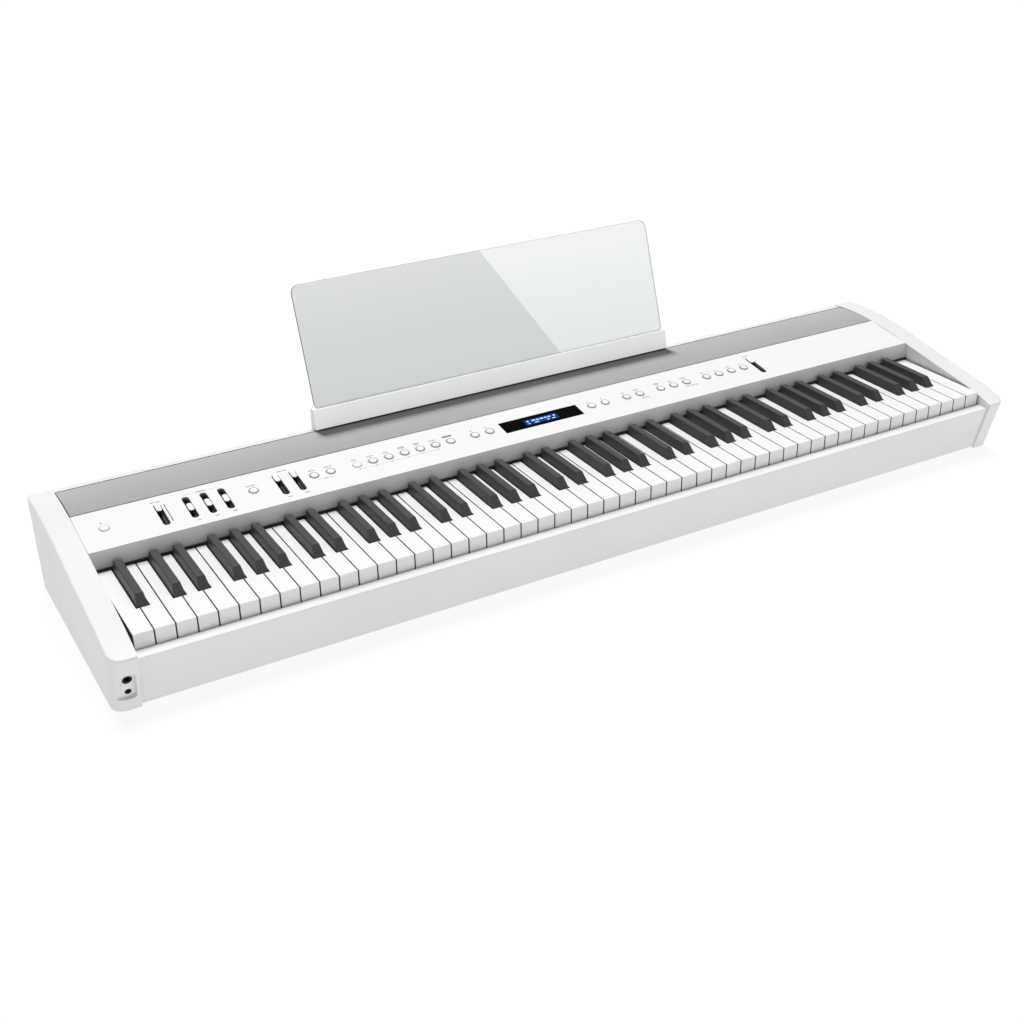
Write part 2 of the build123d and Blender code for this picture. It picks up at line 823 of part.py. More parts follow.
def main():
    make_white_keys()
    make_black_keys()
    make_key_frame()
    make_key_felt()
    make_end_block(-1, "left_end_block", True)
    make_end_block(1, "right_end_block", False)
    make_front_rail()
    make_control_panel()
    make_display()
    make_grille()
    make_rear_cover()
    make_bottom_board()
    make_feet()
    make_case_screws()
    make_circuit_boards()
    make_speakers()
    make_headphone_sockets()
    make_rear_sockets()
    make_buttons()
    make_sliders()
    make_music_rest()


main()
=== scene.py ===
import json
import math

import bmesh
import bpy
from mathutils import Matrix, Vector


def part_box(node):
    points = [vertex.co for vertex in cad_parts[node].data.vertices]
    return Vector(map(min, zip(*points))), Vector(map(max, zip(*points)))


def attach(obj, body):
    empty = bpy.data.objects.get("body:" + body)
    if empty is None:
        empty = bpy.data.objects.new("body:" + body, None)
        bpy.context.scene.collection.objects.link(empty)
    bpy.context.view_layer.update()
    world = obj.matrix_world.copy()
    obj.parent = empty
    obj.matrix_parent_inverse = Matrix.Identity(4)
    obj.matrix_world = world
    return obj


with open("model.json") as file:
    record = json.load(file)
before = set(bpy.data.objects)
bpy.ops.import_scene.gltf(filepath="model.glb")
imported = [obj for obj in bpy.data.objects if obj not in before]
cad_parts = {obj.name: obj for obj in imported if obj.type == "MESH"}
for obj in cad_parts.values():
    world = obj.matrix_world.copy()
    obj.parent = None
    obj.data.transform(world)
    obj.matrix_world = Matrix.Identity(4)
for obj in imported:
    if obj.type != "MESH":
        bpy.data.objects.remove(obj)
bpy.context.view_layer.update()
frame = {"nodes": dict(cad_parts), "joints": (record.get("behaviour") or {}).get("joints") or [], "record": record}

# Looks of a white slab digital piano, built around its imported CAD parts.  Metres, +Z up.

MM = 0.001

# ------------------------------------------------------------------ places taken from the frame
key_low, key_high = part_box("white_keys_c")
panel_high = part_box("control_panel")[1]
slide_axis = next(j["axis"] for j in frame["joints"] if j["name"] == "slider_volume_move")
UP_SLOPE = Vector(slide_axis).normalized()
OUTWARD = Vector((0, -UP_SLOPE.z, UP_SLOPE.y))
PANEL_WALL = 2.8 * MM
PANEL_BACK = Vector((0, panel_high.y - PANEL_WALL * UP_SLOPE.z, panel_high.z))
PANEL_LENGTH = 75.5 * MM
PANEL_FRONT = PANEL_BACK - PANEL_LENGTH * UP_SLOPE


def centre(node):
    low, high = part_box(node)
    return (low + high) / 2


def slope_point(x, along, lift=0.0):
    """Point on the control panel: x across, along up the slope from its front edge, lift off it."""
    return Vector((x, 0, 0)) + PANEL_FRONT + along * UP_SLOPE + lift * OUTWARD


def slope_matrix(x, along, lift=0.0):
    """Places local X across, local Y up the slope and local Z outward at a point of the panel."""
    turn = Matrix((Vector((1, 0, 0)), UP_SLOPE, OUTWARD)).transposed().to_4x4()
    return Matrix.Translation(slope_point(x, along, lift)) @ turn


def along_slope(node):
    """How far up the slope the middle of a node is."""
    return (centre(node) - PANEL_FRONT).dot(UP_SLOPE)


rest_mesh = frame["nodes"]["music_rest_panel"].data
REST_NORMAL = max(rest_mesh.polygons, key=lambda face: face.area).normal.copy()

# ------------------------------------------------------------------ camera
CAMERA_LENS = 49.15
SENSOR_WIDTH = 36
CAMERA_TURN = (-29.418, 28.111, -0.882)  # azimuth, elevation and roll in degrees
CAMERA_X = -0.87026
CAMERA_AHEAD_OF_KEYS = 1.27065
CAMERA_ABOVE_KEYS = 0.79829
camera_data = bpy.data.cameras.new("camera")
camera_data.lens = CAMERA_LENS
camera_data.sensor_width = SENSOR_WIDTH
camera = bpy.data.objects.new("camera", camera_data)
bpy.context.scene.collection.objects.link(camera)
bpy.context.scene.camera = camera
azimuth, elevation, roll = (math.radians(v) for v in CAMERA_TURN)
backward = Vector((
    math.sin(azimuth) * math.cos(elevation),
    -math.cos(azimuth) * math.cos(elevation),
    math.sin(elevation),
))
level_right = Vector((math.cos(azimuth), math.sin(azimuth), 0))
level_up = backward.cross(level_right)
right = math.cos(roll) * level_right + math.sin(roll) * level_up
up = math.cos(roll) * level_up - math.sin(roll) * level_right
camera.matrix_world = Matrix.Translation(
    Vector((CAMERA_X, key_low.y - CAMERA_AHEAD_OF_KEYS, key_high.z + CAMERA_ABOVE_KEYS))
) @ Matrix((right, up, backward)).transposed().to_4x4()


# ------------------------------------------------------------------ material tools
class Shader:
    """A small wrapper that adds and joins the nodes of one material."""

    def __init__(self, name):
        self.material = bpy.data.materials.new(name)
        self.material.use_nodes = True
        self.nodes = self.material.node_tree.nodes
        self.links = self.material.node_tree.links
        self.surface = self.nodes["Principled BSDF"]
        coordinates = self.node("ShaderNodeTexCoord")
        self.place = coordinates.outputs["Object"]
        self.facing = coordinates.outputs["Normal"]

    def node(self, kind, **settings):
        node = self.nodes.new(kind)
        for key, value in settings.items():
            setattr(node, key, value)
        return node

    def feed(self, socket, value):
        if isinstance(value, bpy.types.NodeSocket):
            self.links.new(value, socket)
        else:
            socket.default_value = value

    def math(self, operation, a, b=0.0):
        node = self.node("ShaderNodeMath", operation=operation)
        self.feed(node.inputs[0], a)
        self.feed(node.inputs[1], b)
        return node.outputs[0]

    def dot(self, vector, direction):
        node = self.node("ShaderNodeVectorMath", operation="DOT_PRODUCT")
        self.feed(node.inputs[0], vector)
        node.inputs[1].default_value = direction
        return node.outputs["Value"]

    def scaled(self, factors):
        node = self.node("ShaderNodeVectorMath", operation="MULTIPLY")
        self.feed(node.inputs[0], self.place)
        node.inputs[1].default_value = factors
        return node.outputs[0]

    def noise(self, scale, detail=2.0, vector=None):
        node = self.node("ShaderNodeTexNoise")
        self.feed(node.inputs["Vector"], self.place if vector is None else vector)
        node.inputs["Scale"].default_value = scale
        node.inputs["Detail"].default_value = detail
        return node.outputs["Fac"]

    def ramp(self, value, low, high, dark, light):
        node = self.node("ShaderNodeMapRange", data_type="FLOAT")
        self.feed(node.inputs["Value"], value)
        for key, number in (("From Min", low), ("From Max", high), ("To Min", dark), ("To Max", light)):
            node.inputs[key].default_value = number
        return node.outputs["Result"]

    def mix(self, factor, a, b):
        node = self.node("ShaderNodeMix", data_type="RGBA")
        self.feed(node.inputs["Factor"], factor)
        self.feed(node.inputs["A"], a)
        self.feed(node.inputs["B"], b)
        return node.outputs["Result"]

    def bump(self, height, strength, distance):
        node = self.node("ShaderNodeBump")
        self.feed(node.inputs["Height"], height)
        node.inputs["Strength"].default_value = strength
        node.inputs["Distance"].default_value = distance
        self.links.new(node.outputs["Normal"], self.surface.inputs["Normal"])

    def set(self, **values):
        for key, value in values.items():
            self.feed(self.surface.inputs[key.replace("_", " ")], value)
        return self.material


def rgb(r, g=None, b=None, alpha=1.0):
    return (r, r if g is None else g, r if b is None else b, alpha)


def moulded(name, colour, roughness, grain=0.25, tint_shift=0.97, grain_size=0.35 * MM):
    """Moulded plastic: faint cloudy tint, uneven gloss and a fine spark-eroded grain."""
    shader = Shader(name)
    cloud = shader.noise(9.0, 3.0)
    darker = tuple(c * tint_shift for c in colour[:3]) + (1.0,)
    base = shader.mix(shader.ramp(cloud, 0.35, 0.65, 0.0, 1.0), darker, colour)
    shader.bump(shader.noise(1 / grain_size, 2.0), grain, 0.02 * MM)
    gloss = shader.ramp(shader.noise(35.0, 4.0), 0.3, 0.7, roughness * 0.88, roughness * 1.12)
    return shader.set(Base_Color=base, Roughness=gloss, Specular_IOR_Level=0.2)


# ------------------------------------------------------------------ materials
WHITE = rgb(0.82, 0.822, 0.825)


def control_panel_material():
    """White case plastic, with painted shade: grey on the fascia, darker towards its foot, and deepening to black
    down inside the slider wells.
    """
    shader = Shader("panel_plastic")
    cloud = shader.ramp(shader.noise(9.0, 3.0), 0.35, 0.65, 0.0, 1.0)
    white = shader.mix(cloud, rgb(0.85), rgb(0.865))
    lift = shader.math("SUBTRACT", shader.dot(shader.place, OUTWARD), PANEL_FRONT.dot(OUTWARD))
    front = shader.math("SUBTRACT", shader.dot(shader.place, UP_SLOPE), PANEL_FRONT.dot(UP_SLOPE))
    inside = shader.math("LESS_THAN", lift, -0.35 * MM)
    on_fascia = shader.math("LESS_THAN", front, 1.5 * MM)
    # Painted shade on the fascia: grey, darker towards its foot.
    fascia_shade_fade = shader.ramp(lift, -22 * MM, -1 * MM, 0.0, 1.0)
    fascia_painted_shade = shader.mix(fascia_shade_fade, rgb(0.50), rgb(0.80))
    # Painted shade down the slider wells: the white walls darken to near-black with depth.
    well_painted_shade = shader.mix(shader.ramp(lift, -8 * MM, -0.35 * MM, 0.0, 1.0), rgb(0.01), rgb(0.48))
    base = shader.mix(inside, white, well_painted_shade)
    low = shader.math("MULTIPLY", on_fascia, shader.math("LESS_THAN", lift, -0.9 * MM))
    base = shader.mix(low, base, fascia_painted_shade)
    shader.bump(shader.noise(2800.0, 2.0), 0.25, 0.02 * MM)
    gloss = shader.ramp(shader.noise(35.0, 4.0), 0.3, 0.7, 0.36, 0.46)
    return shader.set(Base_Color=base, Roughness=gloss, Specular_IOR_Level=0.2)


def grille_material():
    """Grey perforated sheet: staggered round holes of about a millimetre."""
    shader = Shader("grille_mesh")
    pitch = 1.25 * MM
    rows = shader.node("ShaderNodeTexVoronoi", feature="F1")
    rows.inputs["Scale"].default_value = 1 / pitch
    rows.inputs["Randomness"].default_value = 0.0
    shader.links.new(shader.scaled((1.0, 1.0, 0.0)), rows.inputs["Vector"])
    hole = shader.ramp(rows.outputs["Distance"], 0.24, 0.40, 1.0, 0.0)
    cloud = shader.ramp(shader.noise(6.0, 2.0), 0.3, 0.7, 0.0, 1.0)
    sheet = shader.mix(cloud, rgb(0.30), rgb(0.32))
    base = shader.mix(hole, sheet, rgb(0.18))
    shader.bump(shader.math("SUBTRACT", 1.0, hole), 0.25, 0.1 * MM)
    return shader.set(Base_Color=base, Roughness=0.7, Specular_IOR_Level=0.0)


def white_key_material():
    """Semi-gloss ivory-white plastic, with painted shade on the sides that face the neighbouring keys."""
    shader = Shader("white_key_plastic")
    streak = shader.noise(60.0, 4.0, shader.scaled((9.0, 0.6, 9.0)))
    smooth = shader.ramp(streak, 0.3, 0.7, 0.0, 1.0)
    top = shader.mix(smooth, rgb(0.885, 0.883, 0.878), rgb(0.90, 0.898, 0.894))
    sideways = shader.math("ABSOLUTE", shader.dot(shader.facing, (1.0, 0.0, 0.0)))
    side = shader.math("GREATER_THAN", sideways, 0.8)
    # Painted shade: near-black on the sides that face the neighbouring keys.
    base = shader.mix(side, top, rgb(0.09))
    shader.bump(shader.noise(900.0, 3.0), 0.02, 0.02 * MM)
    gloss = shader.ramp(streak, 0.3, 0.7, 0.27, 0.31)
    return shader.set(
        Base_Color=base, Roughness=gloss, Specular_IOR_Level=0.25,
        Coat_Weight=0.03, Coat_Roughness=0.15,
    )


def black_key_material():
    """Charcoal key with the fine matt touch texture of simulated ebony."""
    shader = Shader("black_key_plastic")
    fleck = shader.noise(700.0, 3.0, shader.scaled((1.0, 0.25, 1.0)))
    spread = shader.ramp(fleck, 0.35, 0.65, 0.0, 1.0)
    base = shader.mix(spread, rgb(0.036, 0.036, 0.039), rgb(0.050, 0.050, 0.053))
    shader.bump(fleck, 0.35, 0.03 * MM)
    return shader.set(Base_Color=base, Roughness=0.44)


def felt_material():
    shader = Shader("black_felt")
    fibre = shader.noise(1600.0, 5.0, shader.scaled((1.0, 2.0, 2.0)))
    base = shader.mix(fibre, rgb(0.004), rgb(0.016))
    shader.bump(fibre, 0.9, 0.2 * MM)
    return shader.set(Base_Color=base, Roughness=0.95, Sheen_Weight=0.05)


def gloss_black_material():
    shader = Shader("display_gloss")
    base = shader.mix(shader.noise(20.0), rgb(0.0005), rgb(0.002))
    gloss = shader.ramp(shader.noise(50.0, 3.0), 0.3, 0.7, 0.06, 0.12)
    return shader.set(Base_Color=base, Roughness=gloss, Specular_IOR_Level=0.05)


def screen_material():
    """Backlit blue screen with its pixel grid."""
    shader = Shader("screen_blue")
    grid = shader.node("ShaderNodeTexVoronoi", feature="F1", distance="CHEBYCHEV")
    grid.inputs["Scale"].default_value = 1 / (0.45 * MM)
    grid.inputs["Randomness"].default_value = 0.0
    shader.links.new(shader.scaled((1.0, 1.0, 0.0)), grid.inputs["Vector"])
    line = shader.ramp(grid.outputs["Distance"], 0.40, 0.48, 1.0, 0.7)
    glow = shader.mix(line, rgb(0.001, 0.008, 0.05), rgb(0.002, 0.035, 0.19))
    shader.set(Base_Color=rgb(0.002, 0.01, 0.05), Roughness=0.2, Specular_IOR_Level=0.12)
    return shader.set(Emission_Color=glow, Emission_Strength=1.1)


def lit_mark_material():
    shader = Shader("screen_lit")
    glow = shader.mix(shader.noise(400.0), rgb(0.45, 0.65, 1.0), rgb(0.75, 0.88, 1.0))
    return shader.set(
        Base_Color=rgb(0.3, 0.45, 0.8), Roughness=0.3,
        Emission_Color=glow, Emission_Strength=0.75,
    )


def clear_panel_material():
    """Clear acrylic, faintly green-grey, with painted light darker towards its foot, and deeper along its cut
    edges.
    """
    shader = Shader("clear_acrylic")
    low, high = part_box("music_rest_panel")
    height = shader.ramp(shader.dot(shader.place, (0.0, 0.0, 1.0)), low.z, high.z, 0.0, 1.0)
    # Painted light: the clear body darker towards its foot.
    body = shader.mix(height, rgb(0.605, 0.635, 0.625), rgb(0.725, 0.745, 0.735))
    across = shader.math("ABSOLUTE", shader.dot(shader.facing, REST_NORMAL))
    edge = shader.math("LESS_THAN", across, 0.9)
    base = shader.mix(edge, body, rgb(0.02, 0.04, 0.035))
    return shader.set(Base_Color=base, Roughness=0.0, IOR=1.49, Transmission_Weight=1.0)


def knob_material():
    """White cap on the black blade of a slider; only the top and its rounded rim are white: below them the blade's
    own black, and painted shade on the cap's sides.
    """
    shader = Shader("knob_plastic")
    upward = shader.dot(shader.facing, OUTWARD)
    white = shader.mix(shader.noise(35.0, 3.0), rgb(0.87), rgb(0.92))
    # Below the top: the blade's own black, and painted shade on the cap's sides.
    base = shader.mix(shader.math("GREATER_THAN", upward, 0.35), rgb(0.02), white)
    shader.bump(shader.noise(2800.0, 2.0), 0.1, 0.02 * MM)
    return shader.set(Base_Color=base, Roughness=0.38)


def board_material():
    """Green solder mask with copper traces; black switch and slide pot bodies stand on it."""
    shader = Shader("circuit_board")
    lift = shader.math("SUBTRACT", shader.dot(shader.place, OUTWARD), PANEL_FRONT.dot(OUTWARD))
    component = shader.math("GREATER_THAN", lift, -12.1 * MM)
    trace = shader.node("ShaderNodeTexBrick")
    trace.inputs["Scale"].default_value = 90.0
    trace.inputs["Color1"].default_value = rgb(0.02, 0.16, 0.06)
    trace.inputs["Color2"].default_value = rgb(0.015, 0.12, 0.05)
    trace.inputs["Mortar"].default_value = rgb(0.05, 0.26, 0.10)
    shader.links.new(shader.place, trace.inputs["Vector"])
    base = shader.mix(component, trace.outputs["Color"], rgb(0.010))
    return shader.set(Base_Color=base, Roughness=0.4)


def steel_material():
    shader = Shader("zinc_steel")
    brushed = shader.noise(500.0, 4.0)
    base = shader.mix(brushed, rgb(0.45), rgb(0.62))
    gloss = shader.ramp(brushed, 0.3, 0.7, 0.25, 0.4)
    return shader.set(Base_Color=base, Roughness=gloss, Metallic=1.0)


def base_board_material():
    """Painted composite board with a faint pressed-fibre texture."""
    shader = Shader("base_board_paint")
    fibre = shader.noise(260.0, 6.0)
    spread = shader.ramp(fibre, 0.35, 0.65, 0.0, 1.0)
    base = shader.mix(spread, rgb(0.66, 0.655, 0.64), rgb(0.74, 0.735, 0.72))
    shader.bump(fibre, 0.5, 0.1 * MM)
    return shader.set(Base_Color=base, Roughness=0.65)


case_white = moulded("case_plastic", WHITE, 0.40)
finish = {
    "case_white": case_white,
    "white_key": white_key_material(),
    "black_key": black_key_material(),
    "button_cap": moulded("button_plastic", rgb(0.88, 0.88, 0.885), 0.34, 0.15),
    "slider_knob": knob_material(),
    "base_board": base_board_material(),
    "grille": grille_material(),
    "inner_frame": moulded("frame_plastic", rgb(0.10), 0.5),
    "felt": felt_material(),
    "display_black": gloss_black_material(),
    "lcd_blue": screen_material(),
    "circuit_green": board_material(),
    "speaker_black": moulded("speaker_paper", rgb(0.02), 0.7, 0.8),
    "socket_black": moulded("socket_plastic", rgb(0.008), 0.45),
    "foot_rubber": moulded("foot_rubber", rgb(0.03), 0.8, 0.7),
    "screw_steel": steel_material(),
    "clear_panel": clear_panel_material(),
}
slots = {part["node"]: part["material_slot"] for part in frame["record"]["subparts"]}
for name, node in frame["nodes"].items():
    node.data.materials.clear()
    node.data.materials.append(finish[slots[name]])
panel_node = frame["nodes"]["control_panel"]
panel_node.data.materials[0] = control_panel_material()


# ------------------------------------------------------------------ new pieces
def mesh_piece(name, work, material, body):
    """Turns a bmesh in the row frame into a piece that rides on a body."""
    bmesh.ops.recalc_face_normals(work, faces=work.faces)
    mesh = bpy.data.meshes.new(name)
    work.to_mesh(mesh)
    work.free()
    piece = bpy.data.objects.new(name, mesh)
    bpy.context.scene.collection.objects.link(piece)
    piece.data.materials.append(material)
    for face in mesh.polygons:
        face.use_smooth = True
    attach(piece, body)
    return piece


def add_ring(work, matrix, profile, steps=48):
    """Closed ring of the given (radius, lift) profile about the local Z axis of a place."""
    rows = []
    for radius, lift in profile:
        row = []
        for step in range(steps):
            turn = 2 * math.pi * step / steps
            point = Vector((radius * math.cos(turn), radius * math.sin(turn), lift))
            row.append(work.verts.new(matrix @ point))
        rows.append(row)
    for a, b in zip(rows, rows[1:] + rows[:1]):
        for step in range(steps):
            following = (step + 1) % steps
            work.faces.new((a[step], a[following], b[following], b[step]))


def add_pad(work, matrix, length, width, thickness, corner=0.3, steps=4):
    """Thin raised pad with rounded corners, as a printed mark or a lit segment is."""
    corner = min(corner, 0.5) * min(length, width)
    outline = []
    for quarter, (sx, sy) in enumerate(((1, 1), (-1, 1), (-1, -1), (1, -1))):
        for step in range(steps + 1):
            turn = math.pi / 2 * (quarter + step / steps)
            outline.append((
                sx * (length / 2 - corner) + corner * math.cos(turn),
                sy * (width / 2 - corner) + corner * math.sin(turn),
            ))
    top = [work.verts.new(matrix @ Vector((x, y, thickness))) for x, y in outline]
    bottom = [work.verts.new(matrix @ Vector((x, y, 0))) for x, y in outline]
    work.faces.new(top)
    work.faces.new(bottom[::-1])
    for i in range(len(top)):
        following = (i + 1) % len(top)
        work.faces.new((top[i], bottom[i], bottom[following], top[following]))


def ring_material(name, colour):
    """Smoky plastic of the ring round a button."""
    shader = Shader(name)
    base = shader.mix(shader.noise(300.0), tuple(c * 0.9 for c in colour[:3]) + (1.0,), colour)
    return shader.set(Base_Color=base, Roughness=0.45)


ring_grey = ring_material("ring_smoke", rgb(0.37, 0.365, 0.43))
ring_pale = ring_material("ring_pale", rgb(0.72, 0.72, 0.73))
BUTTON_ROW = 39.2 * MM
PALE_BUTTONS = ("button_power", "button_tone_1")
RING_PROFILE = [(4.4, 0.9), (4.5, 1.15), (5.5, 1.17), (5.95, 0.98), (6.13, 0.5), (6.1, 0.1)]
for name in sorted(frame["nodes"]):
    if not name.startswith("button_"):
        continue
    work = bmesh.new()
    add_ring(work, slope_matrix(centre(name).x, BUTTON_ROW), [(r * MM, h * MM) for r, h in RING_PROFILE])
    ring = ring_pale if name in PALE_BUTTONS else ring_grey
    mesh_piece(name + "_ring", work, ring, name)

# ------------------------------------------------------------------ near-black strip behind the grille: painted shade of its groove
grille_low, grille_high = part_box("speaker_grille")
strip_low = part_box("rear_cover")[0]
GRILLE_BACK_DROP = 1.7 * MM
GROOVE_SHADE_HEIGHT = 3 * MM
groove_shade_top = grille_high.z - GRILLE_BACK_DROP


def strip_piece(name, x_ends, y_ends, bottom, top, crown, material, body):
    """Long strip along X with flat sides and a top that may be crowned."""
    work = bmesh.new()
    middle, half = sum(y_ends) / 2, (y_ends[1] - y_ends[0]) / 2
    outline = [(-half, bottom), (half, bottom)]
    for step in range(9):
        turn = math.pi * step / 8
        outline.append((half * math.cos(turn), top + crown * (math.sin(turn) - 1)))
    rings = [[work.verts.new((x, middle + y, z)) for y, z in outline] for x in x_ends]
    work.faces.new(rings[0])
    work.faces.new(rings[1])
    for step in range(len(outline)):
        following = (step + 1) % len(outline)
        work.faces.new((rings[0][step], rings[0][following], rings[1][following], rings[1][step]))
    return mesh_piece(name, work, material, body)


# Near-black strips as painted shade: one in the groove behind the grille, one under the rest's lip.
painted_shade_black = moulded("painted_shade_strip", rgb(0.012), 0.8, 0.6)
strip_piece(
    "grille_groove_shade", (grille_low.x, grille_high.x), (grille_high.y, strip_low.y),
    groove_shade_top - GROOVE_SHADE_HEIGHT, groove_shade_top, 0.5 * MM, painted_shade_black, "root",
)

# A near-black strip under the lip of the music rest as painted shade of the gap there, clear of the strip below
# it.
ledge_low, ledge_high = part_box("music_rest_ledge")
LIP_DEPTH = 6.4 * MM
LIP_DROP = 26.3 * MM
LIP_SHADE_FOOT_DROP = 1.5 * MM
strip_piece(
    "rest_lip_shade", (ledge_low.x + 3 * MM, ledge_high.x - 3 * MM),
    (ledge_low.y + 0.5 * MM, ledge_low.y + LIP_DEPTH),
    grille_high.z - LIP_SHADE_FOOT_DROP, ledge_high.z - LIP_DROP, 0.0, painted_shade_black, "music_rest",
)

# ------------------------------------------------------------------ printed marks
DISPLAY_ROW = along_slope("display_window")
INK = 0.05 * MM
LABEL_ROW = BUTTON_ROW + 11 * MM
UNDER_ROW = BUTTON_ROW - 10.5 * MM
SLIDER_TOP_ROW = 64.5 * MM
SLIDER_FOOT_ROW = 10.5 * MM


def ink_material(name, tone):
    """Slightly uneven silk-screen ink."""
    shader = Shader(name)
    base = shader.mix(shader.noise(900.0, 3.0), rgb(tone * 0.85), rgb(tone * 1.15))
    return shader.set(Base_Color=base, Roughness=0.55)


def mark(work, x, along, length, width):
    add_pad(work, slope_matrix(x, along), length * MM, width * MM, INK, 0.15)


def words(work, x, along, lengths, width=1.5, space=1.0):
    """A row of short bars, as a line of small type looks from a distance."""
    total = sum(lengths) + space * (len(lengths) - 1)
    place = -total / 2
    for length in lengths:
        mark(work, x + (place + length / 2) * MM, along, length, width)
        place += length + space


def x_of(name):
    return centre(name).x


labels = bmesh.new()
for name, lengths in (
    ("button_touch", (4.5, 6.0)), ("button_layer_1", (8.0,)), ("button_layer_2", (6.5, 3.0)),
    ("button_tone_1", (7.0,)), ("button_tone_2", (3.0, 5.5)), ("button_tone_3", (7.5,)),
    ("button_tone_4", (4.0, 5.0)), ("button_tone_5", (6.5,)), ("button_tone_6", (11.0,)),
    ("button_function_1", (5.0,)), ("button_function_2", (9.5,)), ("button_song_1", (6.0,)),
    ("button_song_2", (5.0,)), ("button_song_3", (10.0,)), ("button_rhythm_1", (5.5,)),
):
    words(labels, x_of(name), LABEL_ROW, lengths)
for name in ("button_tone_4", "button_tone_5", "button_song_1"):
    words(labels, x_of(name), LABEL_ROW + 2.6 * MM, (9.0,))
words(labels, x_of("slider_volume"), SLIDER_TOP_ROW, (5.0, 6.0))
words(labels, (x_of("slider_level_left") + x_of("slider_level_right")) / 2, SLIDER_TOP_ROW, (7.0, 5.0))
words(labels, x_of("slider_backing"), SLIDER_TOP_ROW, (4.0, 4.5))
words(labels, x_of("slider_tone_mid"), SLIDER_TOP_ROW, (13.0,))
for name, lengths in (
    ("slider_tone_low", (4.5,)), ("slider_tone_mid", (4.5,)), ("slider_tone_high", (5.5,)),
    ("slider_level_left", (6.0,)), ("slider_level_right", (6.5,)),
):
    words(labels, x_of(name) + 1.5 * MM, SLIDER_FOOT_ROW, lengths)
words(labels, x_of("button_function_2") + 2 * MM, UNDER_ROW, (4.0, 6.0))
words(labels, x_of("button_function_2") + 6 * MM, UNDER_ROW - 2.6 * MM, (1.6,))
words(labels, x_of("button_song_3") + 2 * MM, UNDER_ROW, (6.0, 8.0, 5.0))
mesh_piece("labels", labels, ink_material("ink_grey", 0.34), "root")

fine_lines = bmesh.new()
for side in (-1, 1):
    reach = x_of("slider_tone_mid") + side * 15.5 * MM
    mark(fine_lines, reach, SLIDER_TOP_ROW, 13.0, 0.4)
layer_middle = (x_of("button_layer_1") + x_of("button_layer_2")) / 2
mark(fine_lines, layer_middle, UNDER_ROW, 21.0, 0.4)
tone_first, tone_last = x_of("button_tone_1"), x_of("button_tone_6")
tone_length = (tone_last - tone_first) / MM
mark(fine_lines, (tone_first + tone_last) / 2, UNDER_ROW, tone_length, 0.4)
mesh_piece("fine_lines", fine_lines, ink_material("ink_light", 0.45), "root")

dark_marks = bmesh.new()
for number in range(6):
    mark(dark_marks, tone_first + (tone_last - tone_first) * number / 5, UNDER_ROW, 1.3, 1.3)
mark(dark_marks, x_of("button_tone_7"), LABEL_ROW + 1.0 * MM, 13.5, 3.0)
for name in ("button_page_1", "button_page_2", "button_value_1", "button_value_2",
             "button_rhythm_2", "button_rhythm_3", "button_rhythm_4", "button_power"):
    mark(dark_marks, x_of(name) - 1.0 * MM, LABEL_ROW, 1.6, 1.9)
mark(dark_marks, x_of("button_rhythm_3") + 2.4 * MM, LABEL_ROW, 1.6, 1.9)
mark(dark_marks, layer_middle, UNDER_ROW, 5.0, 1.0)
scale = slope_matrix(x_of("slider_volume") + 8.2 * MM, BUTTON_ROW)
scale_end = scale @ Matrix.Rotation(math.radians(90), 4, "Z")
add_pad(dark_marks, scale_end, 36 * MM, 1.1 * MM, INK, 0.5)
mesh_piece("dark_marks", dark_marks, ink_material("ink_dark", 0.10), "root")

# ------------------------------------------------------------------ what the screen shows
SCREEN_LIFT = -0.7 * MM
screen = bmesh.new()
screen_x = centre("lcd_module").x


def lit(x, up, length, width):
    place = slope_matrix(screen_x + x * MM, DISPLAY_ROW + up * MM, SCREEN_LIFT)
    add_pad(screen, place, length * MM, width * MM, INK, 0.1)


lit(-20.0, 2.4, 2.6, 3.2)
lit(20.5, 2.4, 2.6, 3.2)
for place, length in ((-11.5, 5.0), (-5.5, 4.6), (1.0, 5.6), (7.0, 3.8), (12.5, 4.6)):
    lit(place, 2.2, length, 2.3)
for place, length in ((-20.0, 2.6), (-8.5, 6.5), (9.0, 4.0), (17.5, 5.0)):
    lit(place, -3.0, length, 1.6)
mesh_piece("screen_marks", screen, lit_mark_material(), "root")

# ------------------------------------------------------------------ floor, light
FLOOR_RADIUS = 40
floor_material = Shader("light_table")
floor_tone = floor_material.mix(floor_material.noise(1.5), rgb(0.15), rgb(0.17))
floor_material.set(
    Base_Color=floor_tone, Roughness=0.9, Specular_IOR_Level=0.1,
    Emission_Color=rgb(1.0), Emission_Strength=0.85,
)
floor_mesh = bpy.data.meshes.new("floor")
floor_work = bmesh.new()
bmesh.ops.create_circle(floor_work, cap_ends=True, radius=FLOOR_RADIUS, segments=64)
floor_work.to_mesh(floor_mesh)
floor_work.free()
floor = bpy.data.objects.new("floor", floor_mesh)
floor.data.materials.append(floor_material.material)
bpy.context.scene.collection.objects.link(floor)

# The studio is white along the horizon, where the light table ends, and dimmer overhead.
WHITE_BELOW = math.sin(math.radians(5))
DIM_ABOVE = math.sin(math.radians(14))
world = bpy.data.worlds.new("studio")
world.use_nodes = True
world_nodes, world_links = world.node_tree.nodes, world.node_tree.links
direction = world_nodes.new("ShaderNodeTexCoord")
split = world_nodes.new("ShaderNodeSeparateXYZ")
fade = world_nodes.new("ShaderNodeMapRange")
world_links.new(direction.outputs["Generated"], split.inputs["Vector"])
world_links.new(split.outputs["Z"], fade.inputs["Value"])
for key, number in (
    ("From Min", WHITE_BELOW), ("From Max", DIM_ABOVE), ("To Min", 1.0), ("To Max", 0.34),
):
    fade.inputs[key].default_value = number
world_nodes["Background"].inputs["Color"].default_value = rgb(1.0)
world_links.new(fade.outputs["Result"], world_nodes["Background"].inputs["Strength"])
bpy.context.scene.world = world


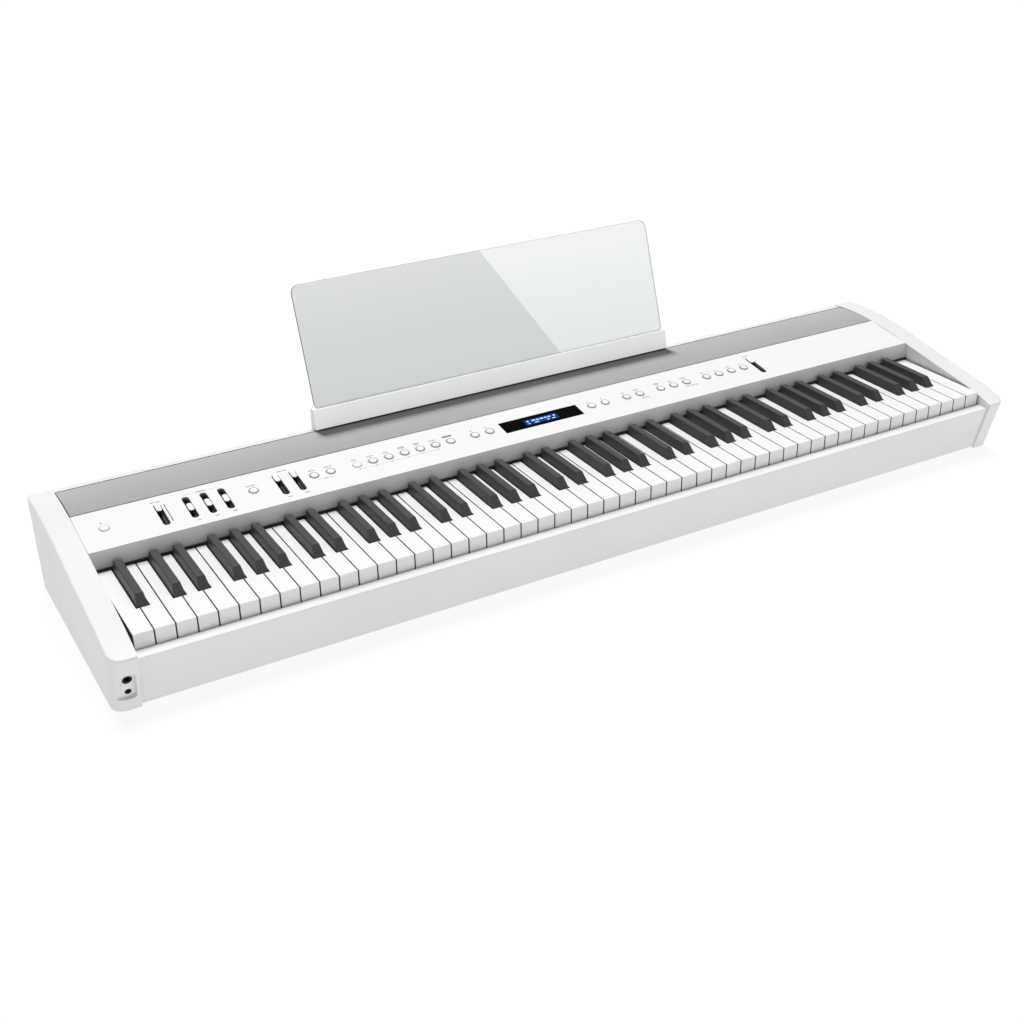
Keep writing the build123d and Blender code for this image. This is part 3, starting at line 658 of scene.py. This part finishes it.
def add_light(name, kind, place, target, energy):
    data = bpy.data.lights.new(name, kind)
    data.energy = energy
    light = bpy.data.objects.new(name, data)
    light.location = place
    light.rotation_euler = (Vector(target) - Vector(place)).to_track_quat("-Z", "Y").to_euler()
    bpy.context.scene.collection.objects.link(light)
    light.visible_camera = False
    return light


# A wide soft overhead light that comes from a little behind.
overhead = add_light("overhead", "SUN", (0.3, 0.95, 3.0), (0, 0, 0), 2.6)
overhead.data.angle = math.radians(32)

# The grille takes its own low light from behind, which throws the ledge's shadow over it.
grille_light = add_light("grille_light", "SUN", (0, 3.5, 3.0), (0, 0, 0), 7.2)
grille_light.data.angle = math.radians(22)
only_grille = bpy.data.collections.new("only_grille")
only_grille.objects.link(frame["nodes"]["speaker_grille"])
grille_light.light_linking.receiver_collection = only_grille
all_but_grille = bpy.data.collections.new("all_but_grille")
all_but_grille.objects.link(frame["nodes"]["speaker_grille"])
overhead.light_linking.receiver_collection = all_but_grille
all_but_grille.collection_objects[0].light_linking.link_state = "EXCLUDE"

# A card that the clear panel mirrors over its right half, as seen from the camera set above.
CARD_OFFSET = 0.2
CARD_SIZE = (0.69, 1.05)
CARD_ROLL = math.radians(19)
mirrored_point = centre("music_rest_panel") + Vector((CARD_OFFSET, 0, 0))
sight = (mirrored_point - camera.matrix_world.translation).normalized()
sight_out = sight.reflect(REST_NORMAL)
CARD_DISTANCE = 4.0
card = add_light("card", "AREA", mirrored_point + CARD_DISTANCE * sight_out, mirrored_point, 5.6)
card.data.shape = "RECTANGLE"
card.data.size, card.data.size_y = CARD_SIZE
card.rotation_euler.rotate_axis("Z", CARD_ROLL)
frame["nodes"]["music_rest_panel"].visible_shadow = False

# A low fill that only the front of the ledge takes.
ledge_fill = add_light("ledge_fill", "SUN", (0, -3.0, 1.2), (0, 0, 0), 1.3)
ledge_fill.data.angle = math.radians(60)
only_ledge = bpy.data.collections.new("only_ledge")
only_ledge.objects.link(frame["nodes"]["music_rest_ledge"])
ledge_fill.light_linking.receiver_collection = only_ledge
bpy.context.scene.view_settings.view_transform = "Standard"
